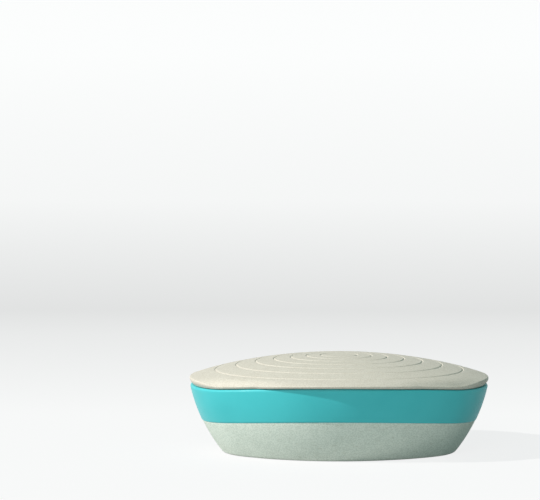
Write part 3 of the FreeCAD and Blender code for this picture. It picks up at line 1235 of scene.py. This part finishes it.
@dataclass
class DrainRack(Piece):
    """Lift-out rack: oval plate with drain slots, half-round ribs, finger notches and foot rails."""

    body: Body = Body.RACK
    node: Node = Node.DRAIN_RACK
    slot: Slot = Slot.RACK
    under: float = 7.5
    thickness: float = 1.8
    edge_round: float = 0.4
    middle_inset: float = 30.0
    frame: float = 4.0
    slot_width: float = 4.0
    slot_sides: int = 40
    pitch: float = 10.5
    rows: int = 3
    rib_width: float = 2.4
    rib_height: float = 1.6
    rib_sides: int = 24
    rail_width: float = 3.0
    rail_length: float = 34.0
    notch_radius: float = 8.0
    notch_sides: int = 72
    cut_depth: float = 20.0
    sharp_degrees: float = 35.0

    def plate(self) -> bpy.types.Object:
        """Build the plain plate with rounded edges.

        Returns:
            The plate.
        """
        hull, seat = self.hull, self.hull.seat
        low, high, soft = self.under, self.under + self.thickness, self.edge_round
        steps = rounding(low + soft, soft, -90, 0) + rounding(high - soft, soft, 0, 90)
        edge = hull.level_edge(seat, hull.rack, steps)
        bottom, top = (hull.level_ring(seat, self.middle_inset, z) for z in (low, high))
        return Shell("drain_rack_piece", [bottom, *edge, top]).piece(capped=True)

    def lengths(self) -> dict[str, float]:
        """Work out the lengths that the rows take.

        Returns:
            Lengths by the names of the tree's inputs.
        """
        top = self.under + self.thickness
        edge = float(self.hull.rack.inset(top))
        long_reach = self.hull.seat.half_length - edge
        return {
            "Pitch": self.pitch,
            "Slot Width": self.slot_width,
            "Frame Long": long_reach - self.frame,
            "Frame Cross": self.hull.seat.half_width - edge - self.frame,
            "Top": top,
            "Thickness": self.thickness,
            "Rib Width": self.rib_width,
            "Rib Height": self.rib_height,
            "Rail Width": self.rail_width,
            "Rail Length": self.rail_length,
            "Rail Height": self.under - BaseTray.floor_height,
            "Rail Reach": (self.rows - 0.5) * self.pitch,
            "Notch Radius": self.notch_radius,
            "Notch Reach": long_reach,
        }

    def cutters(self, tree: GeometryTree, value: bpy.types.NodeOutputs, full: Socket) -> list[Socket]:
        """Add the shapes that cut the slots, their round ends and the notches.

        Args:
            tree: Tree that gets them.
            value: Inputs of the tree.
            full: Width of the slotted oval at each point.

        Returns:
            The cutting shapes, at the height of the plate's top.
        """
        straight, depth = tree.minus(full, value["Slot Width"]), self.cut_depth * MM
        count = tree.plus(tree.times(value["Rows"], 2.0), 1.0)
        far = tree.times(tree.times(value["Rows"], value["Pitch"]), -1.0)
        row = tree.row(count, far, value["Pitch"])
        shapes = [tree.on_points(row, tree.cube(), tree.vector(value["Slot Width"], straight, depth))]
        end = tree.cylinder(tree.times(value["Slot Width"], 0.5), depth, self.slot_sides)
        for side in (0.5, -0.5):
            shift = tree.vector(0.0, tree.times(straight, side), 0.0)
            points = tree.add("GeometryNodeSetPosition", {"Geometry": row, "Offset": shift}).outputs[0]
            shapes.append(tree.on_points(points, end, tree.vector(1.0, 1.0, 1.0)))
        notch = tree.cylinder(value["Notch Radius"], depth, self.notch_sides)
        for side in (1.0, -1.0):
            shapes.append(tree.moved(notch, tree.times(value["Notch Reach"], side), 0.0))
        return [tree.moved(shape, 0.0, value["Top"]) for shape in shapes]

    def additions(self, tree: GeometryTree, value: bpy.types.NodeOutputs, full: Socket) -> list[Socket]:
        """Add the ribs on the plate and the rails under it.

        Args:
            tree: Tree that gets them.
            value: Inputs of the tree.
            full: Width of the slotted oval at each point.

        Returns:
            The ribs and the rails.
        """
        half = tree.times(value["Rib Width"], 0.5)
        laid = tree.add("GeometryNodeTransform", {
            "Geometry": tree.cylinder(half, 1.0, self.rib_sides),
            "Rotation": (math.pi / 2, 0.0, 0.0),
        })
        first = tree.times(tree.minus(value["Rows"], 0.5), tree.times(value["Pitch"], -1.0))
        row = tree.row(tree.times(value["Rows"], 2.0), first, value["Pitch"])
        scale = tree.vector(1.0, full, tree.over(value["Rib Height"], half))
        ribs = tree.on_points(row, laid.outputs[0], scale)

        reach, tall = value["Rail Reach"], value["Rail Height"]
        pair = tree.row(2, tree.times(reach, -1.0), tree.times(reach, 2.0))
        size = tree.vector(value["Rail Width"], value["Rail Length"], tall)
        rails = tree.on_points(pair, tree.cube(), size)
        below = tree.plus(value["Thickness"], tree.times(tall, 0.5))
        return [
            tree.moved(ribs, 0.0, value["Top"]),
            tree.moved(rails, 0.0, tree.minus(value["Top"], below)),
        ]

    def rows_tree(self) -> bpy.types.NodeTree:
        """Build the tree that cuts the slots and notches and adds the ribs and rails.

        Returns:
            The geometry tree.
        """
        others = {"Rows": "NodeSocketInt", "Finish": "NodeSocketMaterial"}
        tree, start, end = geometry_group("drain_rows", tuple(self.lengths()), others)
        value = start.outputs
        share = tree.over(tree.parts("GeometryNodeInputPosition")[0], value["Frame Long"])
        room = tree.math("SQRT", tree.minus(1.0, tree.times(share, share)))
        full = tree.times(tree.times(value["Frame Cross"], room), 2.0)
        shape = value["Geometry"]
        for cutter in self.cutters(tree, value, full):
            feeds = {"Mesh 1": shape, "Mesh 2": cutter}
            knife = tree.add("GeometryNodeMeshBoolean", feeds, operation="DIFFERENCE", solver="EXACT")
            shape = knife.outputs[0]
        whole = tree.add("GeometryNodeJoinGeometry")
        for part in (shape, *self.additions(tree, value, full)):
            tree.fill(whole, {0: part})
        return tree.close(end, whole.outputs[0], value["Finish"])

    def build(self) -> bpy.types.Object:
        """Build the rack's mesh object.

        Returns:
            The rack, with slots, ribs, notches and rails in its mesh.
        """
        item = self.plate()
        values: dict[str, object] = {label: size * MM for label, size in self.lengths().items()}
        values.update({"Rows": self.rows, "Finish": self.material})
        carve(item, self.rows_tree(), values)
        item.data.shade_smooth()
        item.data.set_sharp_from_angle(angle=math.radians(self.sharp_degrees))
        return item


@dataclass
class Studio:
    """Pale floor, a small key lamp, a large soft lamp, fill light and the camera."""

    elevation: float = 8.15
    distance: float = 2.5
    mm_per_px: float = 0.3842
    middle_px: tuple[float, float] = (339.2, 402.7)
    middle_height_mm: float = 18.75
    sensor_mm: float = 36.0
    clip_end: float = 20.0
    key_turn: float = 71.5
    key_height: float = 34.0
    key_energy: float = 3.2
    key_degrees: float = 1.5
    key_colour: Colour = (1.0, 0.95, 0.92)
    soft_energy: float = 14.0
    soft_place: tuple[float, float, float] = (-0.55, -1.85, 0.7)
    soft_size: float = 1.2
    fill: float = 0.215
    fill_colour: Rgba = (0.5, 1.0, 0.97, 1.0)
    backdrop: float = 0.955
    floor_half: float = 4.0
    floor_drop_mm: float = 0.05
    floor_run: float = 2.2
    floor_stops: tuple[float, ...] = (0.045, 0.155, 0.193, 0.395, 0.78)
    # Painted shade: floor colour levels at the stops, with a darker band behind the box.
    floor_painted_shade_levels: tuple[float, ...] = (0.965, 0.85, 0.785, 0.955, 1.02)
    bounce: float = 0.44
    shadow_share: float = 0.15

    def camera(self) -> None:
        """Add the camera at the photographed angle and framing."""
        tilt = math.radians(self.elevation)
        forward = Vector((0.0, math.cos(tilt), -math.sin(tilt)))
        up = Vector((0.0, math.sin(tilt), math.cos(tilt)))
        centre = Vector((0.0, 0.0, self.middle_height_mm * MM))
        px = self.mm_per_px * MM
        across = (FRAME_WIDTH_PX / 2 - self.middle_px[0]) * px
        above = (self.middle_px[1] - FRAME_HEIGHT_PX / 2) * px
        target = centre + Vector((across, 0.0, 0.0)) + up * above
        data = bpy.data.cameras.new("camera")
        data.sensor_width = self.sensor_mm
        data.lens = self.sensor_mm * self.distance / (FRAME_WIDTH_PX * px)
        data.clip_end = self.clip_end
        item = placed("camera", data)
        item.location = centre - forward * self.distance
        item.rotation_euler = (target - item.location).to_track_quat("-Z", "Y").to_euler()
        bpy.context.scene.camera = item

    def floor(self) -> None:
        """Add the floor, which runs far back and keeps the shadow."""
        half, low = self.floor_half, -self.floor_drop_mm * MM
        mesh = bpy.data.meshes.new("floor")
        corners = [(-half, -half, low), (half, -half, low), (half, half, low), (-half, half, low)]
        mesh.from_pydata(corners, [], [(0, 1, 2, 3)])
        mesh.materials.append(self.paper())
        item = placed("floor", mesh)

    @staticmethod
    def seen(tree: Tree) -> Socket:
        """Add a mask of the rays that show the background.

        Args:
            tree: Tree that gets the mask.

        Returns:
            One for rays from the camera, reflections and clear pieces, or else zero.
        """
        path = tree.add("ShaderNodeLightPath")
        mask = tree.plus(path.outputs["Is Camera Ray"], path.outputs["Is Glossy Ray"])
        return tree.math("ADD", mask, path.outputs["Is Transmission Ray"], clamp=True)

    def paper(self) -> bpy.types.Material:
        """Build the floor's finish: pale and glowing to the eye, with painted shade in a darker band behind
        the box, and the object's shadow kept.

        Returns:
            The material.
        """
        material, tree = new_material("floor_paper")
        nodes = material.node_tree.nodes
        nodes.remove(nodes["Principled BSDF"])
        place = tree.add("ShaderNodeSeparateXYZ", {0: tree.object_place()})
        depth = tree.math("DIVIDE", place.outputs[1], self.floor_run, clamp=True)
        # Painted shade: the ramp darkens the floor's colour in a band behind the box, darkest about 0.4 m
        # back, and brightens it again further back.
        ramp = tree.add("ShaderNodeValToRGB", {0: depth})
        stops = ramp.color_ramp.elements
        stops[0].position, stops[1].position = self.floor_stops[0], self.floor_stops[-1]
        for position in self.floor_stops[1:-1]:
            stops.new(position)
        for stop, level in zip(stops, self.floor_painted_shade_levels):
            stop.color = grey(level)
        glow = tree.add("ShaderNodeEmission", {"Color": ramp.outputs["Color"]}).outputs[0]
        pale = tree.add("ShaderNodeBsdfDiffuse", {"Color": ramp.outputs["Color"]}).outputs[0]
        dull = tree.add("ShaderNodeBsdfDiffuse", {"Color": grey(self.bounce)}).outputs[0]
        look = tree.add("ShaderNodeMixShader", {0: self.shadow_share, 1: glow, 2: pale}).outputs[0]
        whole = tree.add("ShaderNodeMixShader", {0: self.seen(tree), 1: dull, 2: look}).outputs[0]
        tree.fill(nodes["Material Output"], {"Surface": whole})
        return material

    @staticmethod
    def lamp(name: str, kind: str, energy: float, towards: Vector) -> bpy.types.Object:
        """Add a lamp.

        Args:
            name: Name of the lamp.
            kind: Its type name.
            energy: Its strength.
            towards: Direction from the object to the lamp.

        Returns:
            The lamp's object, turned to the object.
        """
        data = bpy.data.lights.new(name, kind)
        data.energy = energy
        item = placed(name, data)
        item.rotation_euler = towards.to_track_quat("Z", "Y").to_euler()
        return item

    def lights(self) -> None:
        """Add the key lamp and the large soft lamp."""
        turn, height = math.radians(self.key_turn), math.radians(self.key_height)
        level = math.cos(height)
        towards = Vector((-math.sin(turn) * level, -math.cos(turn) * level, math.sin(height)))
        key = self.lamp("key", "SUN", self.key_energy, towards)
        key.data.color = self.key_colour
        key.data.angle = math.radians(self.key_degrees)
        soft = self.lamp("soft", "AREA", self.soft_energy, Vector(self.soft_place))
        soft.data.size = self.soft_size
        soft.location = self.soft_place

    def world(self) -> None:
        """Add the fill light and the pale background."""
        world = bpy.data.worlds.new("studio")
        world.use_nodes = True
        bpy.context.scene.world = world
        tree, nodes = Tree(world.node_tree), world.node_tree.nodes
        fill = nodes["Background"]
        tree.fill(fill, {"Color": self.fill_colour, "Strength": self.fill})
        pale = tree.add("ShaderNodeBackground", {"Color": grey(self.backdrop)}).outputs[0]
        choice = tree.add("ShaderNodeMixShader", {0: self.seen(tree), 1: fill.outputs[0], 2: pale})
        tree.fill(nodes["World Output"], {"Surface": choice.outputs[0]})

    def build(self) -> None:
        """Build the whole stage."""
        self.camera()
        self.floor()
        self.lights()
        self.world()
        bpy.context.scene.view_settings.view_transform = "Standard"


def main() -> None:
    """Build, dress and report every piece, then the stage."""
    logging.basicConfig(level=logging.INFO, format="%(name)s: %(message)s")
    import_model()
    shared = Finishes(fibre=FibreGrain().group(), handling=HandlingSheen().group())
    hull = Hull()

    base_finish = FibreComposite("base_composite", (228, 237, 226), (207, 218, 206), (180, 186, 166))
    lid_finish = FibreComposite("lid_composite", (225, 218, 205), (210, 202, 188), (206, 196, 172))
    rack_finish = FibreComposite("rack_composite", (224, 228, 216), (206, 212, 198), (186, 184, 160))
    band_finish = Silicone("band_silicone", (67, 198, 204), (61, 191, 197))

    pieces: tuple[Piece, ...] = (
        BaseTray(hull, base_finish.material(shared)),
        SealBand(hull, band_finish.material(shared)),
        DrainRack(hull, rack_finish.material(shared)),
        Lid(hull, lid_finish.material(shared)),
    )
    for piece in pieces:
        item = piece.build()
        piece.dress(item)
        LOG.info("%s: %d faces on %s", item.name, len(item.data.polygons), piece.body.value)

    Studio().build()


if __name__ == "__main__":
    main()
